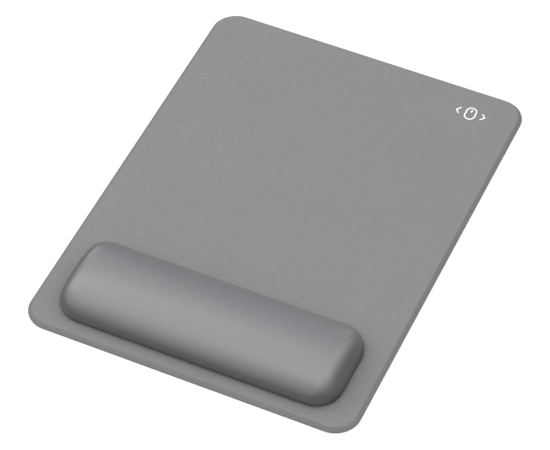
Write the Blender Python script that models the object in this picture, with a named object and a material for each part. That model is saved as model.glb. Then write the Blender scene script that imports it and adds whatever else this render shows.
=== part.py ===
"""Mouse pad with a built-in wrist cushion, as the laminated and upholstered layers it is made of.

Frame: origin on the desk under the middle of the pad, +X to the user's right, +Y away from the user
(the pad's long way), +Z up. Metres throughout.
"""
import math

import bmesh
import bpy

# ---------------------------------------------------------------- driving dimensions
PAD_WIDTH = 0.183
PAD_DEPTH = 0.245
PAD_CORNER_RADIUS = 0.0138
PAD_THICKNESS = 0.0025
PAD_BEVEL_RUN = 0.00205          # how far the pressed edge leans in from the desk to the top face

BACKING_THICKNESS = 0.0005
CORE_THICKNESS = 0.0009
FABRIC_THICKNESS = 0.0005
LAYER_GAP = 0.0003               # clearance kept between neighbouring layers

CUSHION_LENGTH = 0.1554          # along X, at its foot
CUSHION_DEPTH = 0.0524           # along Y, at its foot
CUSHION_RISE = 0.0175            # crown above the pad's top face
CUSHION_FRONT_MARGIN = 0.0094    # bare pad in front of the cushion
CUSHION_CREST_SETBACK = 0.0225   # from the cushion's front face to the line of its crown
CUSHION_CORNER_RADIUS = 0.0147   # in plan, at the foot
CUSHION_END_RUN = 0.0140         # length over which each end comes down from the crown
FRONT_FULLNESS = 2.15            # superellipse exponents of the section
BACK_FULLNESS = 1.9
END_SHOULDER = 2.4               # how late the crown turns down towards each end
END_FLANK = 1.3                  # how full the end is below that shoulder, 1 being nearly straight

COVER_THICKNESS = 0.0008
HEM_WIDTH = 0.0060               # cover turned under the base board
BOARD_THICKNESS = 0.0012
BOARD_CLEARANCE = 0.0014         # between the board's rim and the cover, which leans in over it
COMFORT_FOAM_THICKNESS = 0.0050

ARC_STEPS = 8                    # facets in each plan corner of the pad
SECTION_STEPS = 20               # facets over the cushion, from front foot to back foot
END_STEPS = 10                   # sections in each rounded end

# ---------------------------------------------------------------- derived places
BEVEL_START = BACKING_THICKNESS                       # the rubber edge below it stands upright
BEVEL_SLOPE = PAD_BEVEL_RUN / (PAD_THICKNESS - BEVEL_START)
FABRIC_FOOT = BACKING_THICKNESS + LAYER_GAP
FABRIC_UNDERSIDE = PAD_THICKNESS - FABRIC_THICKNESS
CUSHION_FOOT = PAD_THICKNESS + LAYER_GAP
CUSHION_TOP = PAD_THICKNESS + CUSHION_RISE
CUSHION_FRONT = -PAD_DEPTH / 2 + CUSHION_FRONT_MARGIN
CUSHION_BACK = CUSHION_FRONT + CUSHION_DEPTH
CUSHION_CREST = CUSHION_FRONT + CUSHION_CREST_SETBACK
HEM_TOP = CUSHION_FOOT + COVER_THICKNESS
BOARD_FOOT = HEM_TOP + LAYER_GAP
FOAM_FOOT = BOARD_FOOT + BOARD_THICKNESS + LAYER_GAP


# ---------------------------------------------------------------- helpers
def clear_scene():
    for old in list(bpy.data.objects):
        bpy.data.objects.remove(old, do_unlink=True)


def material(name, colour, roughness, metallic=0.0):
    mat = bpy.data.materials.new(name)
    mat.use_nodes = True
    shader = mat.node_tree.nodes["Principled BSDF"]
    shader.inputs["Base Color"].default_value = (*colour, 1.0)
    shader.inputs["Roughness"].default_value = roughness
    shader.inputs["Metallic"].default_value = metallic
    return mat


def add_object(name, mesh, mat):
    mesh.materials.append(mat)
    obj = bpy.data.objects.new(name, mesh)
    bpy.context.collection.objects.link(obj)
    return obj


def loft(name, loops, mat):
    """One closed solid through a row of equal-length loops, capped at both ends."""
    bm = bmesh.new()
    rows = [[bm.verts.new(point) for point in loop] for loop in loops]
    count = len(rows[0])
    for lower, upper in zip(rows, rows[1:]):
        for i in range(count):
            j = (i + 1) % count
            bm.faces.new((lower[i], lower[j], upper[j], upper[i]))
    bm.faces.new(tuple(reversed(rows[0])))
    bm.faces.new(tuple(rows[-1]))
    bmesh.ops.recalc_face_normals(bm, faces=bm.faces)
    mesh = bpy.data.meshes.new(name)
    bm.to_mesh(mesh)
    bm.free()
    mesh.shade_smooth()
    mesh.set_sharp_from_angle(angle=math.radians(30))
    return add_object(name, mesh, mat)


def rounded_rectangle(half_x, half_y, radius, z, centre_y=0.0):
    """Plan outline with arc corners, counter-clockwise from the +X side."""
    corners = ((1, 1), (-1, 1), (-1, -1), (1, -1))
    loop = []
    for quarter, (side_x, side_y) in enumerate(corners):
        mid_x = side_x * (half_x - radius)
        mid_y = centre_y + side_y * (half_y - radius)
        for step in range(ARC_STEPS + 1):
            turn = math.pi / 2 * (quarter + step / ARC_STEPS)
            loop.append((mid_x + radius * math.cos(turn), mid_y + radius * math.sin(turn), z))
    return loop


def pad_outline(inset, z):
    return rounded_rectangle(PAD_WIDTH / 2 - inset, PAD_DEPTH / 2 - inset, PAD_CORNER_RADIUS - inset, z)


def bevel_inset(z):
    """How far the pad's outer edge has leaned in at height z."""
    return (z - BEVEL_START) * BEVEL_SLOPE


def dome_section(x, shrink):
    """Loop of the cushion's section at x, over the dome from front foot to back foot.

    Both halves of the section are superellipse quarters with their centres on the level of the
    cushion's foot, and towards each end the crown turns down over a shoulder into a steep flank.
    shrink takes the same amount off all of their half-axes, which gives the next layer inside.
    """
    half_length = CUSHION_LENGTH / 2 - shrink
    end_run = CUSHION_END_RUN - shrink
    corner = CUSHION_CORNER_RADIUS - shrink
    rise = CUSHION_TOP - CUSHION_FOOT - shrink
    into_end = max(0.0, (abs(x) - (half_length - end_run)) / end_run)
    height = rise * (1.0 - into_end ** END_SHOULDER) ** (1.0 / END_FLANK)
    into_corner = max(0.0, abs(x) - (half_length - corner))
    plan_inset = corner - math.sqrt(corner ** 2 - into_corner ** 2)
    front = CUSHION_FRONT + shrink + plan_inset
    back = CUSHION_BACK - shrink - plan_inset
    loop = []
    for step in range(SECTION_STEPS + 1):
        angle = math.pi * step / SECTION_STEPS
        along, up = math.cos(angle), math.sin(angle)
        fullness = FRONT_FULLNESS if along > 0 else BACK_FULLNESS
        reach = (CUSHION_CREST - front) if along > 0 else (back - CUSHION_CREST)
        y = CUSHION_CREST - math.copysign(reach * abs(along) ** (2 / fullness), along)
        loop.append((x, y, CUSHION_FOOT + height * abs(up) ** (2 / fullness)))
    return loop


def dome_stations(shrink):
    """Places along X of the dome's sections: none along its straight middle, closest at its ends."""
    corner = CUSHION_CORNER_RADIUS - shrink
    straight = CUSHION_LENGTH / 2 - shrink - corner
    last_turn = math.radians(84)             # stops just short of the end's edge, on a small flat face
    ends = [straight + corner * math.sin(last_turn * step / END_STEPS) for step in range(END_STEPS + 1)]
    return [-x for x in reversed(ends)] + ends


def dome(name, shrink, foot, mat):
    """The cushion's form shrunk by one amount and standing on a flat base at height foot."""
    obj = loft(name, [dome_section(x, shrink) for x in dome_stations(shrink)], mat)
    if foot > CUSHION_FOOT:
        bm = bmesh.new()
        bm.from_mesh(obj.data)
        everything = bm.verts[:] + bm.edges[:] + bm.faces[:]
        trimmed = bmesh.ops.bisect_plane(bm, geom=everything, plane_co=(0, 0, foot),
                                         plane_no=(0, 0, -1), clear_outer=True)
        rim = [part for part in trimmed["geom_cut"] if isinstance(part, bmesh.types.BMEdge)]
        bmesh.ops.contextual_create(bm, geom=rim)
        bmesh.ops.recalc_face_normals(bm, faces=bm.faces)
        bm.to_mesh(obj.data)
        bm.free()
    return obj


def cut(obj, cutter):
    """Boolean difference that stays live on the object; the cutter is a hidden wire guide."""
    cutter.hide_render = True
    cutter.display_type = "WIRE"
    modifier = obj.modifiers.new("cut_" + cutter.name, "BOOLEAN")
    modifier.operation = "DIFFERENCE"
    modifier.solver = "EXACT"
    modifier.object = cutter


# ---------------------------------------------------------------- pad, from the desk up
def build_nonslip_backing():
    """Flat rubber sheet with an upright edge, the face that stands on the desk."""
    rubber = material("backing_rubber", (0.055, 0.056, 0.058), 0.85)
    return loft("nonslip_backing", [pad_outline(0.0, 0.0), pad_outline(0.0, BACKING_THICKNESS)], rubber)


def skirt_inset(z):
    """Inner side of the fabric's pressed edge at height z."""
    lean = math.hypot(1.0, BEVEL_SLOPE)
    return bevel_inset(z) + FABRIC_THICKNESS * lean


def build_pad_core():
    """Foam rubber sheet whose edge leans in under the fabric's bevel."""
    foam_rubber = material("core_foam_rubber", (0.10, 0.10, 0.105), 0.9)
    foot = FABRIC_FOOT
    top = foot + CORE_THICKNESS
    clearance = LAYER_GAP * math.hypot(1.0, BEVEL_SLOPE)
    loops = [pad_outline(skirt_inset(z) + clearance, z) for z in (foot, top)]
    return loft("pad_core", loops, foam_rubber)


def build_pad_fabric():
    """Mouse surface: a top sheet whose edge is pressed down over the core, like a shallow lid."""
    cloth = material("pad_cloth", (0.285, 0.292, 0.287), 0.8)
    loops = [
        pad_outline(skirt_inset(FABRIC_UNDERSIDE), FABRIC_UNDERSIDE),
        pad_outline(skirt_inset(FABRIC_FOOT), FABRIC_FOOT),
        pad_outline(bevel_inset(FABRIC_FOOT), FABRIC_FOOT),
        pad_outline(bevel_inset(PAD_THICKNESS), PAD_THICKNESS),
    ]
    return loft("pad_fabric", loops, cloth)


# ---------------------------------------------------------------- wrist cushion, from the pad up
def cushion_outline(inset, z):
    centre_y = (CUSHION_FRONT + CUSHION_BACK) / 2
    return rounded_rectangle(CUSHION_LENGTH / 2 - inset, CUSHION_DEPTH / 2 - inset,
                             CUSHION_CORNER_RADIUS - inset, z, centre_y)


def build_adhesive_sheet():
    """Double-sided sheet between pad and base board, inside the opening of the hem."""
    adhesive = material("adhesive_film", (0.72, 0.71, 0.66), 0.5)
    inset = HEM_WIDTH + LAYER_GAP
    return loft("adhesive_sheet", [cushion_outline(inset, z) for z in (CUSHION_FOOT, HEM_TOP)], adhesive)


def build_base_board():
    """Stiff board that keeps the cushion flat; the cover's hem is turned under its rim."""
    board = material("board_plastic", (0.16, 0.16, 0.165), 0.6)
    inset = COVER_THICKNESS + BOARD_CLEARANCE
    heights = (BOARD_FOOT, BOARD_FOOT + BOARD_THICKNESS)
    return loft("base_board", [cushion_outline(inset, z) for z in heights], board)


def build_support_foam():
    """Firm core of the cushion, standing on the base board under the soft layer."""
    firm = material("firm_foam", (0.42, 0.42, 0.43), 0.95)
    depth = COVER_THICKNESS + COMFORT_FOAM_THICKNESS + 2 * LAYER_GAP
    return dome("support_foam", depth, FOAM_FOOT, firm)


def build_comfort_foam():
    """Soft layer under the cover, hollow below so that it fits over the firm core."""
    soft = material("soft_foam", (0.75, 0.74, 0.70), 0.95)
    outside = COVER_THICKNESS + LAYER_GAP
    layer = dome("comfort_foam", outside, FOAM_FOOT, soft)
    core_space = dome("guide_core_space", outside + COMFORT_FOAM_THICKNESS, FOAM_FOOT - LAYER_GAP, soft)
    cut(layer, core_space)
    return layer


def build_cushion_cover():
    """Moulded skin of the cushion: one shell, with a hem turned in along its foot."""
    skin = material("cover_skin", (0.33, 0.335, 0.345), 0.45)
    cover = dome("cushion_cover", 0.0, CUSHION_FOOT, skin)
    cavity = dome("guide_cover_cavity", COVER_THICKNESS, HEM_TOP, skin)
    heights = (CUSHION_FOOT - COVER_THICKNESS, HEM_TOP + COVER_THICKNESS)
    opening = loft("guide_hem_opening", [cushion_outline(HEM_WIDTH, z) for z in heights], skin)
    cut(cover, cavity)
    cut(cover, opening)
    return cover


def main():
    clear_scene()
    build_nonslip_backing()
    build_pad_core()
    build_pad_fabric()
    build_adhesive_sheet()
    build_base_board()
    build_support_foam()
    build_comfort_foam()
    build_cushion_cover()


main()
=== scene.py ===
"""Looks of a mouse pad with a built-in wrist cushion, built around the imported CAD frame."""
import math

import bmesh
import bpy
import numpy as np
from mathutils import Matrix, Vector


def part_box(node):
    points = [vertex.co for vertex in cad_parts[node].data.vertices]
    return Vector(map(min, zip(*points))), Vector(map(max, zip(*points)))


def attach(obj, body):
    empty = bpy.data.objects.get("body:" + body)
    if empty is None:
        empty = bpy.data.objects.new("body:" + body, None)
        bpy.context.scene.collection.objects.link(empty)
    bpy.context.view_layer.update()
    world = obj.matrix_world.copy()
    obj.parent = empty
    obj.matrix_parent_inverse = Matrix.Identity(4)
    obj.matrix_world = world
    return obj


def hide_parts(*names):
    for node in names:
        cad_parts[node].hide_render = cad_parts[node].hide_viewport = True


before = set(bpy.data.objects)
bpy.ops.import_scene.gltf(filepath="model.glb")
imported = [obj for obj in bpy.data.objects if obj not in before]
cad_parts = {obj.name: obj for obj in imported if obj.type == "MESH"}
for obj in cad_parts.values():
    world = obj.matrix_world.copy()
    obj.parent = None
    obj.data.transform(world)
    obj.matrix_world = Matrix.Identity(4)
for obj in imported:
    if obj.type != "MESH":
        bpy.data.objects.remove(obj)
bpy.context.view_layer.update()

MM = 0.001

# ---------------------------------------------------------------- pad: outline and levels from the frame
_, fabric_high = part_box("pad_fabric")
_, backing_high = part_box("nonslip_backing")

HALF_WIDTH = backing_high.x
HALF_DEPTH = backing_high.y
PAD_TOP = fabric_high.z
BACKING_TOP = backing_high.z
PAD_CORNER_RADIUS = 13.8 * MM
CORNER_STEPS = 28                        # steps round each of the pad's corners

BEVEL_RUN = 2.05 * MM                    # lean of the pressed edge, from the backing up to the top face
CLOTH_THICKNESS = 0.5 * MM
LIP = 0.12 * MM                          # rounding of the cloth's lower edge
SHOULDER_RADIUS = 0.6 * MM               # where the bevel turns into the top face
SHOULDER_STEPS = 6
TOP_RINGS = (0.5 * MM, 3.0 * MM)         # rings inside the shoulder that keep the top's shading flat
SEAM = 0.02 * MM                         # hairline between backing and cloth

STUD_PITCH = 2.4 * MM
STUD_HEIGHT = 0.30 * MM
STUD_MARGIN = 1.2 * MM                   # plain rubber left round the field of studs
STUD_HALF_GROOVE = 0.42 * MM             # half the groove between two studs
STUD_TAPER = 0.12 * MM                   # how far each side of a stud leans in
RIM_CHAMFER = 0.06 * MM

# ---------------------------------------------------------------- wrist cushion: place from the frame
cover_low, cover_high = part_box("cushion_cover")

END_OUTSET, FRONT_OUTSET = 0.4 * MM, 0.7 * MM    # how far the filled cover swells past the CAD solid,
BACK_INSET = 0.5 * MM                            # and how far it stays short of it at the back

CUSHION_HALF_LENGTH = cover_high.x + END_OUTSET
CUSHION_FRONT = cover_low.y - FRONT_OUTSET
CUSHION_BACK = cover_high.y - BACK_INSET
CUSHION_TOP = cover_high.z
CUSHION_CREST = cover_low.y + 22.5 * MM  # line of the crown
CUSHION_CORNER = 14.6 * MM               # radius of the plan's corners
CUSHION_END_RUN = 14.0 * MM              # length over which each end comes down
FRONT_FULLNESS, BACK_FULLNESS = 2.12, 1.85       # exponents of the section, 2 being an ellipse
END_SHOULDER, END_FLANK = 3.6, 1.4       # how late the crown drops, and how full the end is below it
END_BOXINESS = 0.5                       # how much squarer the section gets towards each end
END_STATIONS, STRAIGHT_STATIONS = 8, 33  # sections over each rounded end, and between the two
SECTION_POINTS = 29

COVER_THICKNESS = 0.6 * MM
HEM_WIDTH = 5.2 * MM
TUCK_RADIUS = 2.0 * MM                   # bend of the cover where it turns under
TUCK_TURNS = (22, 45, 68, 90)            # degrees through which that bend is stepped
HEM_GAP = 0.02 * MM                      # hairline between the hem and the pad

FILL_SLACK = 0.45 * MM                   # how far below its full height the cover starts
SLACK_FULLNESS = 0.3                     # extra fullness of the section for each mm of slack
FILL_PRESSURE = 4
FILL_FRAMES = 20
FILL_LIMIT = 1.5 * MM                    # the furthest that filling moves any point

# ---------------------------------------------------------------- values for the materials
COVER_GLOSS = 0.465                      # specular level of the coating on the open surface
PAINTED_CREASE_SHADE = 0.18                      # painted shade: what is left of colour and gloss deep in the crease at the foot
NOISE_LOW, NOISE_HIGH = 0.3, 0.7         # most values of a noise texture lie between these

RANGE_SOCKETS = ("From Min", "From Max", "To Min", "To Max")
# the Mix node has several sockets of each name, so they go by number
MIX_FACTOR, MIX_A_NUMBER, MIX_B_NUMBER, MIX_A_COLOUR, MIX_B_COLOUR = 0, 2, 3, 6, 7
MIX_NUMBER_OUT, MIX_COLOUR_OUT = 0, 2

# ---------------------------------------------------------------- printed pictogram
PRINT_CENTRE = Vector((HALF_WIDTH - 27.0 * MM, HALF_DEPTH - 18.5 * MM))
PRINT_LOW, PRINT_HIGH = PAD_TOP - 0.01 * MM, PAD_TOP + 0.02 * MM     # a hair of it lies in the cloth
PRINT_LINE = 0.75 * MM
MOUSE_HALF_WIDTH, MOUSE_HALF_LENGTH = 3.1 * MM, 4.6 * MM
WHEEL_HALF_WIDTH, WHEEL_HALF_LENGTH, WHEEL_Y = 0.42 * MM, 1.0 * MM, 1.9 * MM
ARROW_TIP, ARROW_OPEN_END, ARROW_HALF_HEIGHT = 8.6 * MM, 6.6 * MM, 2.3 * MM
ARROW_STROKE = PRINT_LINE * 1.3
SHORT_FLAT = 0.01 * MM                   # half the straight left between two round corners
PRINT_ARC_STEPS, WHEEL_ARC_STEPS = 12, 6

# ---------------------------------------------------------------- studio, in metres, watts and degrees
FLOOR_REACH = 12.0
FLOOR_DROP = 0.01 * MM                   # keeps the floor from lying in the plane of the studs
SKY_LOW, SKY_TOP = 0.265, 1.384          # strength at the horizon, and what the top adds to it
SKY_POWER = 3.0                          # how late the sky brightens on the way up
SIDE_PANEL_PLACE, SIDE_PANEL_SIZE, SIDE_PANEL_WATTS = (-0.6, 0, 0.6), 0.6, 1.63
RING_DISTANCE = 1.3
# a ring is (elevation, size of its panels, panels), and a panel is (azimuth from front to right, watts)
LIGHT_RINGS = (
    (64, 0.6, ((0, 1.28), (90, 0.54), (135, 0.58), (225, 0.46))),
    (40, 0.8, ((0, 0.74), (45, 0.92), (90, 1.22), (135, 1.36), (225, 0.64), (315, 0.82))),
    (14, 0.5, ((0, 0.55), (135, 0.30), (180, 0.45), (225, 0.90), (270, 0.55), (315, 0.80))),
)

CAMERA_AZIMUTH, CAMERA_ELEVATION = 24.48, 49.05      # from the front to the right, and up
CAMERA_DISTANCE = 1.423
CAMERA_TARGET = Vector((0.4 * MM, -10.4 * MM, 0))
CAMERA_LENS, CAMERA_SENSOR = 178.2, 36   # millimetres
CAMERA_CLIP_START = 0.05


# ---------------------------------------------------------------- mesh helpers
def new_object(name, bm, mat, sharp_degrees=40):
    mesh = bpy.data.meshes.new(name)
    bm.to_mesh(mesh)
    bm.free()
    mesh.shade_smooth()
    mesh.set_sharp_from_angle(angle=math.radians(sharp_degrees))
    mesh.materials.append(mat)
    obj = bpy.data.objects.new(name, mesh)
    bpy.context.collection.objects.link(obj)
    return obj


def rounded_outline(half_x, half_y, radius, arc_steps=CORNER_STEPS):
    """Plan points of a rounded rectangle, counter-clockwise from the +X side."""
    points = []
    for quarter, (side_x, side_y) in enumerate(((1, 1), (-1, 1), (-1, -1), (1, -1))):
        for step in range(arc_steps + 1):
            turn = math.pi / 2 * (quarter + step / arc_steps)
            points.append((side_x * (half_x - radius) + radius * math.cos(turn),
                           side_y * (half_y - radius) + radius * math.sin(turn)))
    return points


def pad_ring(bm, inset, z):
    """Ring of vertices on the pad's outline, moved in by inset."""
    outline = rounded_outline(HALF_WIDTH - inset, HALF_DEPTH - inset, PAD_CORNER_RADIUS - inset)
    return [bm.verts.new((x, y, z)) for x, y in outline]


def bridge(bm, lower, upper):
    """Faces between two rings of equal length."""
    count = len(lower)
    for i in range(count):
        j = (i + 1) % count
        bm.faces.new((lower[i], lower[j], upper[j], upper[i]))


def finish_piece(obj, node):
    """A detailed piece takes the place of a CAD node on the one body."""
    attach(obj, "root")
    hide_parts(node)


# ---------------------------------------------------------------- node helpers
def math_node(tree, operation, first, second=None):
    """Math node whose values are numbers or sockets; returns its result."""
    node = tree.nodes.new("ShaderNodeMath")
    node.operation = operation
    for socket, value in zip(node.inputs, (first, second)):
        if isinstance(value, (int, float)):
            socket.default_value = value
        elif value is not None:
            tree.links.new(value, socket)
    return node.outputs["Value"]


class Nodes:
    """A material's node tree, with one short call for each kind of node."""

    def __init__(self, name, colour, roughness, **shader_values):
        self.mat = bpy.data.materials.new(name)
        self.mat.use_nodes = True
        self.tree = self.mat.node_tree
        self.shader = self.tree.nodes["Principled BSDF"]
        self.colour = colour
        self.shader.inputs["Base Color"].default_value = (*colour, 1)
        self.shader.inputs["Roughness"].default_value = roughness
        for socket, value in shader_values.items():
            self.shader.inputs[socket.replace("_", " ")].default_value = value
        self.place = self.add("ShaderNodeTexCoord").outputs["Object"]

    def add(self, kind, **settings):
        node = self.tree.nodes.new(kind)
        for key, value in settings.items():
            setattr(node, key, value)
        return node

    def link(self, source, target):
        self.tree.links.new(source, target)

    def math(self, operation, first, second=None):
        return math_node(self.tree, operation, first, second)

    def axes(self):
        """The X, Y and Z of each place on the object."""
        split = self.add("ShaderNodeSeparateXYZ")
        self.link(self.place, split.inputs["Vector"])
        return split.outputs["X"], split.outputs["Y"], split.outputs["Z"]

    def noise(self, size, detail):
        """Noise whose features are about size across, in metres."""
        node = self.add("ShaderNodeTexNoise")
        node.inputs["Scale"].default_value = 1 / size
        node.inputs["Detail"].default_value = detail
        self.link(self.place, node.inputs["Vector"])
        return node.outputs["Fac"]

    def cells(self, size, feature="F1"):
        """Distance from the middle of each cell, for cells about size across."""
        node = self.add("ShaderNodeTexVoronoi", feature=feature)
        node.inputs["Scale"].default_value = 1 / size
        self.link(self.place, node.inputs["Vector"])
        return node.outputs["Distance"]

    def remap(self, source, from_low, from_high, to_low, to_high):
        node = self.add("ShaderNodeMapRange")
        for socket, value in zip(RANGE_SOCKETS, (from_low, from_high, to_low, to_high)):
            node.inputs[socket].default_value = value
        self.link(source, node.inputs["Value"])
        return node.outputs["Result"]

    def mottle(self, size, detail, low, high):
        """Value that drifts between low and high over patches about size across."""
        return self.remap(self.noise(size, detail), NOISE_LOW, NOISE_HIGH, low, high)

    def shade(self, *factors):
        """Base colour times each factor, a value around 1 that varies over the surface."""
        total = factors[0]
        for factor in factors[1:]:
            total = self.math("MULTIPLY", total, factor)
        mix = self.add("ShaderNodeMix", data_type="RGBA", blend_type="MULTIPLY")
        mix.inputs[MIX_FACTOR].default_value = 1.0
        mix.inputs[MIX_A_COLOUR].default_value = (*self.colour, 1)
        self.link(total, mix.inputs[MIX_B_COLOUR])
        self.link(mix.outputs[MIX_COLOUR_OUT], self.shader.inputs["Base Color"])

    def roughness(self, source):
        self.link(source, self.shader.inputs["Roughness"])

    def bump(self, *layers):
        """Each layer is (height source, depth in metres, strength)."""
        normal = None
        for source, depth, strength in layers:
            node = self.add("ShaderNodeBump")
            node.inputs["Distance"].default_value = depth
            node.inputs["Strength"].default_value = strength
            self.link(source, node.inputs["Height"])
            if normal is not None:
                self.link(normal, node.inputs["Normal"])
            normal = node.outputs["Normal"]
        self.link(normal, self.shader.inputs["Normal"])


# ---------------------------------------------------------------- materials
def pad_cloth_material():
    """Fine plain-woven polyester, heathered yarn by yarn."""
    n = Nodes("pad_cloth", colour=(0.2165, 0.2235, 0.220), roughness=0.8, Specular_IOR_Level=0.0)
    yarn = 0.55 * MM
    x, y, _ = n.axes()
    across = n.math("DIVIDE", x, yarn)
    along = n.math("DIVIDE", y, yarn)
    over_x = n.math("ABSOLUTE", n.math("SINE", n.math("MULTIPLY", across, math.pi)))
    over_y = n.math("ABSOLUTE", n.math("SINE", n.math("MULTIPLY", along, math.pi)))
    column, row = n.math("FLOOR", across), n.math("FLOOR", along)
    parity = n.math("MODULO", n.math("ABSOLUTE", n.math("ADD", column, row)), 2.0)
    upper_yarn = n.add("ShaderNodeMix", data_type="FLOAT")
    n.link(parity, upper_yarn.inputs[MIX_FACTOR])
    n.link(over_x, upper_yarn.inputs[MIX_A_NUMBER])
    n.link(over_y, upper_yarn.inputs[MIX_B_NUMBER])
    weave = upper_yarn.outputs[MIX_NUMBER_OUT]
    crossing = n.add("ShaderNodeCombineXYZ")
    n.link(column, crossing.inputs["X"])
    n.link(row, crossing.inputs["Y"])
    heather = n.add("ShaderNodeTexWhiteNoise", noise_dimensions="2D")
    n.link(crossing.outputs["Vector"], heather.inputs["Vector"])
    n.shade(n.remap(weave, 0, 1, 0.90, 1.07),
            n.remap(heather.outputs["Value"], 0, 1, 0.95, 1.05),
            n.mottle(2.6 * MM, 3, 0.975, 1.025),
            n.mottle(45 * MM, 2, 0.985, 1.015))
    n.bump((weave, 0.07 * MM, 0.6), (n.noise(0.3 * MM, 2), 0.04 * MM, 0.4))
    return n.mat


def crease(n, x, z):
    """Mask of painted shade on the cover: 0 on the open cover. In the crease at its foot it rises to
    side_depth, and to 1 at the ends.
    """
    bottom = PAD_TOP + 1 * MM
    side_depth, side_curve = 0.66, 1.5
    end_curve = 1.3
    at_foot = n.remap(z, bottom, PAD_TOP + 5 * MM, 1.0, 0.0)
    up_the_end = n.remap(z, bottom, PAD_TOP + 9 * MM, 1.0, 0.0)
    at_end = n.remap(n.math("ABSOLUTE", x), CUSHION_HALF_LENGTH - 8 * MM, CUSHION_HALF_LENGTH - 1 * MM,
                     0.0, 1.0)
    return n.math("MAXIMUM", n.math("MULTIPLY", n.math("POWER", at_foot, side_curve), side_depth),
                  n.math("MULTIPLY", n.math("POWER", up_the_end, end_curve), at_end))


def cover_material():
    """Soft-touch coated cover: satin, with a very fine grain, polished a little along the crown. Painted
    shade darkens its colour and gloss in the crease at the foot.
    """
    n = Nodes("cushion_coating", colour=(0.150, 0.153, 0.1613), roughness=0.36, IOR=1.9)
    x, _, z = n.axes()
    crown = n.remap(z, PAD_TOP + 6 * MM, CUSHION_TOP, 0.0, 1.0)
    polish = n.math("MULTIPLY", crown, -0.03)
    n.roughness(n.math("ADD", n.mottle(9 * MM, 3, 0.355, 0.395), polish))
    # painted shade: colour and gloss are darkened in the crease at the foot, most at the ends
    painted_shade_factor = n.remap(crease(n, x, z), 0, 1, 1.0, PAINTED_CREASE_SHADE)
    grain = n.cells(0.42 * MM, "SMOOTH_F1")
    n.shade(n.mottle(38 * MM, 2, 0.985, 1.015),
            n.mottle(1.1 * MM, 2, 0.992, 1.008),
            n.remap(grain, 0, 0.8, 0.985, 1.01),
            painted_shade_factor)
    n.link(n.math("MULTIPLY", painted_shade_factor, COVER_GLOSS), n.shader.inputs["Specular IOR Level"])
    n.bump((grain, 0.03 * MM, 0.25), (n.noise(1.6 * MM, 2), 0.02 * MM, 0.25))
    return n.mat


def rubber_material():
    """Natural rubber backing: matt, faintly mottled, with a skin of fine pores."""
    n = Nodes("backing_rubber", colour=(0.060, 0.061, 0.063), roughness=0.75)
    n.shade(n.mottle(7 * MM, 3, 0.90, 1.12), n.mottle(0.5 * MM, 2, 0.94, 1.06))
    n.roughness(n.mottle(3 * MM, 2, 0.68, 0.84))
    n.bump((n.noise(0.25 * MM, 3), 0.05 * MM, 0.4))
    return n.mat


def ink_material():
    """White screen print that has sunk into the weave."""
    n = Nodes("white_print", colour=(0.90, 0.90, 0.89), roughness=0.6)
    n.shade(n.mottle(0.5 * MM, 2, 0.96, 1.03), n.mottle(4 * MM, 2, 0.98, 1.02))
    n.bump((n.noise(0.35 * MM, 2), 0.04 * MM, 0.4))
    return n.mat


def foam_material(name, colour, pore):
    """Cut foam: painted shade in the open pores, which are a little darker than the walls between them."""
    n = Nodes(name, colour, roughness=0.95)
    pores = n.cells(pore)
    # painted shade: the middle of each pore is darkened
    n.shade(n.remap(pores, 0, 0.6, 0.72, 1.06), n.mottle(12 * MM, 2, 0.95, 1.05))
    n.bump((pores, pore * 0.4, 0.8))
    return n.mat


def board_material():
    """Moulded board with a spark-eroded grain."""
    n = Nodes("board_plastic", colour=(0.16, 0.16, 0.165), roughness=0.55)
    n.shade(n.mottle(15 * MM, 2, 0.95, 1.05), n.mottle(0.6 * MM, 2, 0.96, 1.04))
    n.roughness(n.mottle(2 * MM, 2, 0.50, 0.62))
    n.bump((n.noise(0.4 * MM, 3), 0.03 * MM, 0.5))
    return n.mat


def adhesive_material():
    """Milky double-sided film with faint mottling."""
    n = Nodes("adhesive_film", colour=(0.72, 0.71, 0.66), roughness=0.35)
    n.shade(n.mottle(5 * MM, 3, 0.94, 1.04))
    n.roughness(n.mottle(8 * MM, 2, 0.28, 0.45))
    n.bump((n.noise(1.5 * MM, 2), 0.03 * MM, 0.3))
    return n.mat


def floor_material():
    n = Nodes("pale_floor", colour=(0.93, 0.93, 0.93), roughness=0.9)
    n.shade(n.mottle(0.6, 2, 0.99, 1.01))
    return n.mat


# ---------------------------------------------------------------- pad
def cloth_profile():
    """(inset, z) round the cloth's section: recess ceiling, inner side, lip, bevel, shoulder, top face."""
    foot = BACKING_TOP + SEAM
    edge_height = PAD_TOP - BACKING_TOP
    slope = math.atan2(edge_height, BEVEL_RUN)
    lean = BEVEL_RUN / edge_height
    wall = CLOTH_THICKNESS / math.sin(slope)
    ceiling = PAD_TOP - CLOTH_THICKNESS
    profile = [((ceiling - foot) * lean + wall, ceiling), (wall, foot)]
    lip_points = ((1.0, 0.0), (0.35, 0.25), (0.9 * lean, 1.0))       # in parts of LIP, from below up
    profile += [(LIP * inset, foot + LIP * up) for inset, up in lip_points]
    centre_inset = BEVEL_RUN + SHOULDER_RADIUS * math.tan(slope / 2)
    for step in range(SHOULDER_STEPS + 1):
        turn = slope * (1 - step / SHOULDER_STEPS)
        profile.append((centre_inset - SHOULDER_RADIUS * math.sin(turn),
                        PAD_TOP - SHOULDER_RADIUS * (1 - math.cos(turn))))
    profile += [(centre_inset + further, PAD_TOP) for further in TOP_RINGS]
    return profile


def make_pad_cloth():
    bm = bmesh.new()
    rings = [pad_ring(bm, inset, z) for inset, z in cloth_profile()]
    for lower, upper in zip(rings, rings[1:]):
        bridge(bm, lower, upper)
    bm.faces.new(list(reversed(rings[0])))
    bm.faces.new(rings[-1])
    bmesh.ops.recalc_face_normals(bm, faces=bm.faces)
    cloth = new_object("mouse_surface_cloth", bm, pad_cloth_material())
    finish_piece(cloth, node="pad_fabric")


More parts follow.
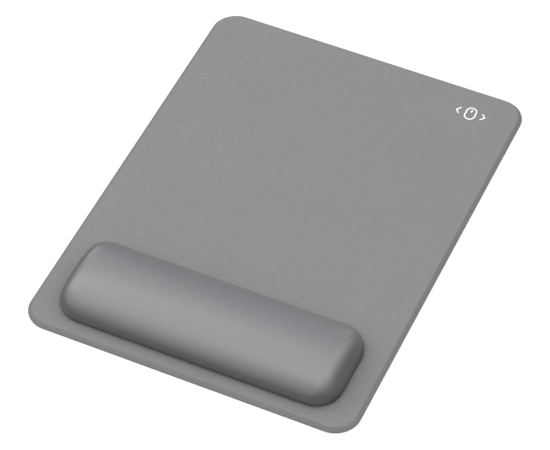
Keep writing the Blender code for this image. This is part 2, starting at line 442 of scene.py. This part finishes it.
def inside_pad(x, y, inset):
    """Whether a plan point lies within the pad's outline moved in by inset."""
    past_x = max(0.0, abs(x) - (HALF_WIDTH - PAD_CORNER_RADIUS))
    past_y = max(0.0, abs(y) - (HALF_DEPTH - PAD_CORNER_RADIUS))
    return math.hypot(past_x, past_y) <= PAD_CORNER_RADIUS - inset


def stud_squares(bm):
    """Square faces side by side over the underside, as many as fit inside the margin."""
    columns = int((HALF_WIDTH - STUD_MARGIN) / STUD_PITCH)
    rows = int((HALF_DEPTH - STUD_MARGIN) / STUD_PITCH)
    grid = {}

    def corner(i, j):
        if (i, j) not in grid:
            grid[i, j] = bm.verts.new((i * STUD_PITCH, j * STUD_PITCH, STUD_HEIGHT))
        return grid[i, j]

    squares = []
    for i in range(-columns, columns):
        for j in range(-rows, rows):
            outer_i = i if i < 0 else i + 1
            outer_j = j if j < 0 else j + 1
            if inside_pad(outer_i * STUD_PITCH, outer_j * STUD_PITCH, STUD_MARGIN):
                corners = (corner(i, j), corner(i, j + 1), corner(i + 1, j + 1), corner(i + 1, j))
                squares.append(bm.faces.new(corners))
    return squares


def make_rubber_underside():
    """Rubber sheet whose underside is covered in small square studs, standing on the desk."""
    bm = bmesh.new()
    rim_top = pad_ring(bm, 0.0, BACKING_TOP)
    rim_low = pad_ring(bm, 0.0, STUD_HEIGHT + RIM_CHAMFER)
    under = pad_ring(bm, RIM_CHAMFER, STUD_HEIGHT)
    bridge(bm, under, rim_low)
    bridge(bm, rim_low, rim_top)
    bm.faces.new(rim_top)
    studs = stud_squares(bm)
    under_verts = set(under)
    edge_of_studs = [edge for face in studs for edge in face.edges if len(edge.link_faces) == 1]
    edge_of_sheet = [edge for edge in bm.edges if under_verts.issuperset(edge.verts)]
    bmesh.ops.triangle_fill(bm, use_beauty=True, use_dissolve=False, edges=edge_of_studs + edge_of_sheet)
    bmesh.ops.inset_individual(bm, faces=studs, thickness=STUD_HALF_GROOVE, depth=0.0)
    bmesh.ops.inset_individual(bm, faces=studs, thickness=STUD_TAPER, depth=STUD_HEIGHT)
    bmesh.ops.recalc_face_normals(bm, faces=bm.faces)
    rubber = new_object("studded_rubber_backing", bm, rubber_material(), sharp_degrees=25)
    finish_piece(rubber, node="nonslip_backing")


# ---------------------------------------------------------------- wrist cushion
def dome_grid(foot, slack):
    """Grid of points over the cushion, stations along X by places over the section, rim at z = foot.

    Slack is how far below its full height the crown starts. The section is fuller to match.
    """
    straight = CUSHION_HALF_LENGTH - CUSHION_CORNER
    round_end = straight + CUSHION_CORNER * np.sin(np.linspace(0, math.pi / 2, END_STATIONS + 1)[1:])
    middle = np.linspace(-straight, straight, STRAIGHT_STATIONS)
    angle = np.linspace(0, math.pi, SECTION_POINTS)
    along, up = np.cos(angle), np.sin(angle).clip(0)
    at_front = along > 0
    middle_fullness = np.where(at_front, FRONT_FULLNESS, BACK_FULLNESS) + SLACK_FULLNESS * slack / MM
    reach = np.where(at_front, CUSHION_CREST - CUSHION_FRONT, CUSHION_BACK - CUSHION_CREST)
    rise = CUSHION_TOP - foot - slack
    rows = []
    for x in np.concatenate([-round_end[::-1], middle, round_end]):
        into_end = max(0.0, (abs(x) - (CUSHION_HALF_LENGTH - CUSHION_END_RUN)) / CUSHION_END_RUN)
        into_corner = max(0.0, abs(x) - straight)
        fullness = middle_fullness + END_BOXINESS * min(into_end, 1.0)
        inset = CUSHION_CORNER - math.sqrt(max(0.0, CUSHION_CORNER ** 2 - into_corner ** 2))
        y = CUSHION_CREST - np.sign(along) * (reach - inset) * np.abs(along) ** (2 / fullness)
        end_height = max(0.0, 1 - into_end ** END_SHOULDER) ** (1 / END_FLANK)
        z = foot + rise * end_height * up ** (2 / fullness)
        rows.append(np.stack([np.full_like(y, x), y, z], 1))
    return np.array(rows)


def grid_faces(rows, columns):
    return [(r * columns + c, (r + 1) * columns + c, (r + 1) * columns + c + 1, r * columns + c + 1)
            for r in range(rows - 1) for c in range(columns - 1)]


def rim_order(rows, columns):
    """Indices round the grid's edge, counter-clockwise from above."""
    front = [r * columns for r in range(rows)]
    right_end = [(rows - 1) * columns + c for c in range(1, columns)]
    back = [r * columns + columns - 1 for r in range(rows - 2, -1, -1)]
    left_end = list(range(columns - 2, 0, -1))
    return front + right_end + back + left_end


def inflate(points, faces, rim):
    """Cloth simulation: the cover, held along its rim, is filled until it is taut; returns the new points."""
    mesh = bpy.data.meshes.new("cover_being_filled")
    mesh.from_pydata([tuple(p) for p in points], [], faces + [tuple(reversed(rim))])
    mesh.update()
    obj = bpy.data.objects.new("cover_being_filled", mesh)
    bpy.context.collection.objects.link(obj)
    obj.vertex_groups.new(name="held").add(rim, 1.0, "REPLACE")
    cloth = obj.modifiers.new("cloth", "CLOTH")
    settings = cloth.settings
    settings.quality = 5
    settings.mass = 0.2
    settings.tension_stiffness = 5
    settings.compression_stiffness = 5
    settings.shear_stiffness = 2.5
    settings.bending_stiffness = 0.5
    settings.vertex_group_mass = "held"
    settings.use_pressure = True
    settings.uniform_pressure_force = FILL_PRESSURE
    settings.effector_weights.gravity = 0
    cloth.collision_settings.use_self_collision = False
    cloth.collision_settings.use_collision = False
    cloth.point_cache.frame_start = 1
    cloth.point_cache.frame_end = FILL_FRAMES
    scene = bpy.context.scene
    for number in range(1, FILL_FRAMES + 1):
        scene.frame_set(number)
    evaluated = obj.evaluated_get(bpy.context.evaluated_depsgraph_get())
    moved = np.array([v.co for v in evaluated.data.vertices])
    bpy.data.objects.remove(obj, do_unlink=True)
    bpy.data.meshes.remove(mesh)
    scene.frame_set(1)
    return moved


def fill_cover(start, faces, rim):
    """The filled cover, its movement eased off so that no point goes further than the limit."""
    shift = inflate(start, faces, rim) - start
    length = np.linalg.norm(shift, axis=1, keepdims=True)
    return start + shift * FILL_LIMIT * np.tanh(length / FILL_LIMIT) / np.maximum(length, 1e-9)


def outward_directions(plan):
    """Unit vectors that point out of a counter-clockwise outline, one for each of its points."""
    tangent = np.roll(plan, -1, 0) - np.roll(plan, 1, 0)
    outward = np.stack([tangent[:, 1], -tangent[:, 0]], 1)
    return outward / np.linalg.norm(outward, axis=1, keepdims=True)


def add_hem(bm, edge, foot):
    """Bend at the cover's foot, and the hem that it turns in on the pad."""
    plan = np.array([v.co[:2] for v in edge])
    outward = outward_directions(plan)
    steps = [(TUCK_RADIUS * (1 - math.cos(turn)), TUCK_RADIUS * math.sin(turn))
             for turn in np.radians(TUCK_TURNS)]
    steps.append((HEM_WIDTH, TUCK_RADIUS))
    for inset, drop in steps:
        ring = [bm.verts.new((*(p - o * inset), foot - drop)) for p, o in zip(plan, outward)]
        bridge(bm, edge, ring)
        edge = ring


def make_cushion():
    """Cover of the wrist cushion: taut dome, a tight bend at its foot and a hem turned in on the pad."""
    foot = PAD_TOP + TUCK_RADIUS + HEM_GAP
    grid = dome_grid(foot, FILL_SLACK)
    rows, columns = grid.shape[:2]
    faces, rim = grid_faces(rows, columns), rim_order(rows, columns)
    points = grid.reshape(-1, 3)
    points = fill_cover(points, faces, rim)
    bm = bmesh.new()
    verts = [bm.verts.new(p) for p in points]
    for face in faces:
        bm.faces.new([verts[i] for i in face])
    add_hem(bm, [verts[i] for i in rim], foot)
    bmesh.ops.recalc_face_normals(bm, faces=bm.faces)
    cushion = new_object("wrist_cushion_cover", bm, cover_material(), sharp_degrees=60)
    thick = cushion.modifiers.new("thickness", "SOLIDIFY")
    thick.thickness = COVER_THICKNESS
    thick.offset = -1
    smooth = cushion.modifiers.new("smooth", "SUBSURF")
    smooth.levels = smooth.render_levels = 2
    finish_piece(cushion, node="cushion_cover")


# ---------------------------------------------------------------- printed pictogram
def on_print(points):
    """Those points, given from the print's centre, as places on the pad."""
    return [(PRINT_CENTRE.x + x, PRINT_CENTRE.y + y) for x, y in points]


def mouse_outline(inset):
    """Outline of the pictogram's mouse, moved in by inset."""
    half_width, half_length = MOUSE_HALF_WIDTH - inset, MOUSE_HALF_LENGTH - inset
    return on_print(rounded_outline(half_width, half_length, half_width - SHORT_FLAT, PRINT_ARC_STEPS))


def ink_slab(bm, outline):
    """Flat closed form with that outline."""
    lower = [bm.verts.new((x, y, PRINT_LOW)) for x, y in outline]
    upper = [bm.verts.new((x, y, PRINT_HIGH)) for x, y in outline]
    bridge(bm, lower, upper)
    bm.faces.new(list(reversed(lower)))
    bm.faces.new(upper)


def ink_band(bm, outer, inner):
    """Flat closed ring between two outlines of equal length."""
    corners = ((outer, PRINT_LOW), (outer, PRINT_HIGH), (inner, PRINT_HIGH), (inner, PRINT_LOW))
    rings = [[bm.verts.new((x, y, z)) for x, y in outline] for outline, z in corners]
    for lower, upper in zip(rings, rings[1:] + rings[:1]):
        bridge(bm, lower, upper)


def make_print():
    """Small pictogram of a computer mouse between two arrowheads, printed in the back right corner."""
    bm = bmesh.new()
    ink_band(bm, mouse_outline(0.0), mouse_outline(PRINT_LINE))
    wheel = rounded_outline(WHEEL_HALF_WIDTH, WHEEL_HALF_LENGTH, WHEEL_HALF_WIDTH - SHORT_FLAT,
                            WHEEL_ARC_STEPS)
    ink_slab(bm, on_print([(x, y + WHEEL_Y) for x, y in wheel]))
    arrowhead = [(ARROW_TIP, 0),
                 (ARROW_OPEN_END, ARROW_HALF_HEIGHT),
                 (ARROW_OPEN_END - ARROW_STROKE, ARROW_HALF_HEIGHT),
                 (ARROW_TIP - ARROW_STROKE, 0),
                 (ARROW_OPEN_END - ARROW_STROKE, -ARROW_HALF_HEIGHT),
                 (ARROW_OPEN_END, -ARROW_HALF_HEIGHT)]
    for side in (-1, 1):
        ink_slab(bm, on_print([(side * x, y) for x, y in arrowhead]))
    bmesh.ops.recalc_face_normals(bm, faces=bm.faces)
    printed = new_object("printed_pictogram", bm, ink_material())
    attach(printed, "root")


# ---------------------------------------------------------------- finishes of the layers inside
def finish_inner_layers():
    finishes = {
        "pad_core": foam_material("foam_rubber", (0.10, 0.10, 0.105), 0.5 * MM),
        "support_foam": foam_material("firm_foam", (0.42, 0.42, 0.43), 0.6 * MM),
        "comfort_foam": foam_material("soft_foam", (0.75, 0.74, 0.70), 0.8 * MM),
        "base_board": board_material(),
        "adhesive_sheet": adhesive_material(),
    }
    for node, mat in finishes.items():
        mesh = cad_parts[node].data
        mesh.materials.clear()
        mesh.materials.append(mat)


# ---------------------------------------------------------------- stage, light and camera
def make_floor():
    bm = bmesh.new()
    bmesh.ops.create_grid(bm, x_segments=1, y_segments=1, size=FLOOR_REACH)
    floor = new_object("floor", bm, floor_material())
    floor.location.z = -FLOOR_DROP
    floor.visible_diffuse = False        # keeps the pale floor from lighting the cushion's flanks
    floor.visible_glossy = False


def soft_panel(name, place, size, watts):
    """Square area light that faces the middle of the pad."""
    light = bpy.data.lights.new(name, "AREA")
    light.shape = "RECTANGLE"
    light.size = light.size_y = size
    light.energy = watts
    obj = bpy.data.objects.new(name, light)
    obj.location = place
    obj.rotation_euler = (Vector((0, 0, 0)) - Vector(place)).to_track_quat("-Z", "Y").to_euler()
    bpy.context.collection.objects.link(obj)


def make_sky():
    """White sky over a black lower half: even near the horizon and brighter towards the top."""
    world = bpy.data.worlds.new("studio")
    bpy.context.scene.world = world
    world.use_nodes = True
    tree = world.node_tree
    split = tree.nodes.new("ShaderNodeSeparateXYZ")
    tree.links.new(tree.nodes.new("ShaderNodeTexCoord").outputs["Generated"], split.inputs["Vector"])
    height = math_node(tree, "MAXIMUM", split.outputs["Z"], 0.0)
    above = math_node(tree, "GREATER_THAN", split.outputs["Z"], 0.0)
    even = math_node(tree, "MULTIPLY", above, SKY_LOW)
    towards_top = math_node(tree, "MULTIPLY", math_node(tree, "POWER", height, SKY_POWER), SKY_TOP)
    background = tree.nodes["Background"]
    background.inputs["Color"].default_value = (1, 1, 1, 1)
    tree.links.new(math_node(tree, "ADD", even, towards_top), background.inputs["Strength"])


def make_light():
    """Light tent: the sky, one panel at the left, and three rings of soft panels round the pad."""
    make_sky()
    soft_panel("side_panel", SIDE_PANEL_PLACE, SIDE_PANEL_SIZE, SIDE_PANEL_WATTS)
    for elevation, size, panels in LIGHT_RINGS:
        rise = RING_DISTANCE * math.sin(math.radians(elevation))
        run = RING_DISTANCE * math.cos(math.radians(elevation))
        for azimuth, watts in panels:
            turn = math.radians(azimuth)
            place = (run * math.sin(turn), -run * math.cos(turn), rise)
            soft_panel(f"panel_{elevation}_{azimuth}", place, size, watts)


def make_camera():
    """Long lens from the front right, high up."""
    azimuth, elevation = math.radians(CAMERA_AZIMUTH), math.radians(CAMERA_ELEVATION)
    away = Vector((math.sin(azimuth) * math.cos(elevation),
                   -math.cos(azimuth) * math.cos(elevation),
                   math.sin(elevation)))
    data = bpy.data.cameras.new("camera")
    data.sensor_width = CAMERA_SENSOR
    data.lens = CAMERA_LENS
    data.clip_start = CAMERA_CLIP_START
    camera = bpy.data.objects.new("camera", data)
    camera.location = CAMERA_TARGET + away * CAMERA_DISTANCE
    camera.rotation_euler = (-away).to_track_quat("-Z", "Y").to_euler()
    bpy.context.collection.objects.link(camera)
    bpy.context.scene.camera = camera


make_camera()
make_pad_cloth()
make_rubber_underside()
make_cushion()
make_print()
finish_inner_layers()
make_floor()
make_light()
bpy.context.scene.view_settings.view_transform = "Standard"
